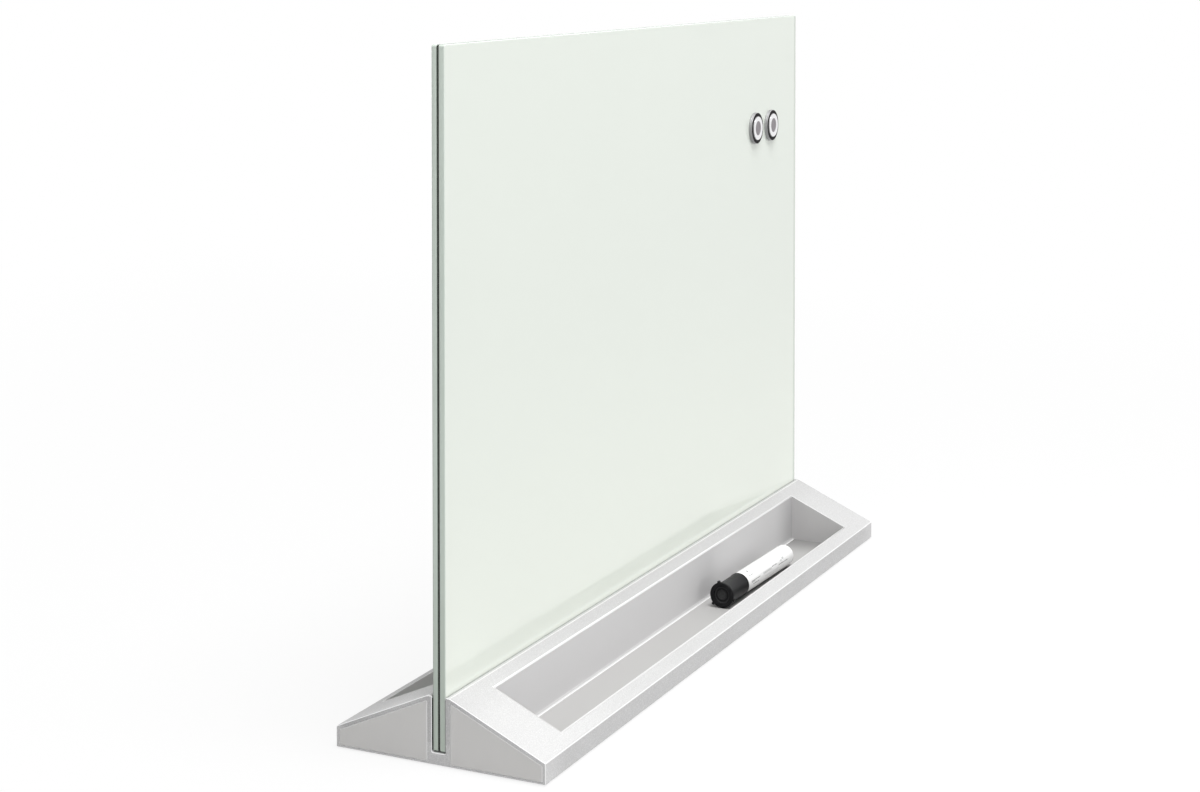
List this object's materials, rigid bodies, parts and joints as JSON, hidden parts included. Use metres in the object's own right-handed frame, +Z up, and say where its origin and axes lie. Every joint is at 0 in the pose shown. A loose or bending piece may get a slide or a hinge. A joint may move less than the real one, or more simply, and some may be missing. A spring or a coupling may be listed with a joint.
{
  "type": "magnetic desk whiteboard easel",
  "caption": "Free-standing glass dry-erase board held in the slot of a long low base with pen trays, with round board magnets and a capped marker in the tray.",
  "frame": {"origin": "on the desk, under the middle of the base", "axes": "+Z up, +X along the board with the marker cap pointing to -X, -Y towards the side that holds the marker"},
  "size_m": [0.591, 0.1436, 0.4318],
  "materials": {
    "aluminium_base": "fine silver powder coat",
    "tray_plastic": "satin silver grey",
    "cap_plastic": "satin silver grey",
    "black_rubber": "matt",
    "board_glass": "polished, backed in white",
    "backing_steel": "galvanised",
    "white_film": "matt",
    "chrome_knob": "mirror",
    "magnet_nickel": "nickel plated",
    "white_barrel": "gloss",
    "grey_holder": "satin",
    "ink_felt": "inked felt",
    "ink_fibre": "inked fibre",
    "black_cap": "satin gloss"
  },
  "bodies": {
    "base": {"base_extrusion": "aluminium_base", "front_tray_floor": "tray_plastic", "rear_tray_floor": "tray_plastic", "front_tray_rails": "tray_plastic", "rear_tray_rails": "tray_plastic", "front_tray_end_plates": "tray_plastic", "rear_tray_end_plates": "tray_plastic", "front_left_end_cap": "cap_plastic", "front_right_end_cap": "cap_plastic", "rear_left_end_cap": "cap_plastic", "rear_right_end_cap": "cap_plastic", "front_slot_strip": "black_rubber", "rear_slot_strip": "black_rubber", "glass_setting_blocks": "black_rubber", "foot_pads": "black_rubber"},
    "board": {"front_glass": "board_glass", "rear_glass": "board_glass", "steel_sheet": "backing_steel", "front_bond_film": "white_film", "rear_bond_film": "white_film"},
    "left_magnet": {"left_magnet_knob": "chrome_knob", "left_magnet_disc": "magnet_nickel"},
    "right_magnet": {"right_magnet_knob": "chrome_knob", "right_magnet_disc": "magnet_nickel"},
    "marker": {"marker_barrel": "white_barrel", "marker_nib_holder": "grey_holder", "marker_nib": "ink_felt", "marker_reservoir": "ink_fibre"},
    "cap": {"marker_cap": "black_cap"}
  },
  "joints": [
    {"name": "board_lift", "type": "slide", "parent": "base", "child": "board", "axis": [0, 0, 1], "range_m": [0, 0.06]},
    {"name": "left_magnet_slide", "type": "slide", "parent": "board", "child": "left_magnet", "axis": [0, 0, 1], "range_m": [-0.287, 0.073]},
    {"name": "right_magnet_slide", "type": "slide", "parent": "board", "child": "right_magnet", "axis": [0, 0, 1], "range_m": [-0.287, 0.073]},
    {"name": "marker_lift", "type": "slide", "parent": "base", "child": "marker", "axis": [0, 0, 1], "range_m": [0, 0.08]},
    {"name": "cap_pull", "type": "slide", "parent": "marker", "child": "cap", "axis": [-0.9998, 0.0157, 0.0098], "range_m": [0, 0.06]}
  ]
}
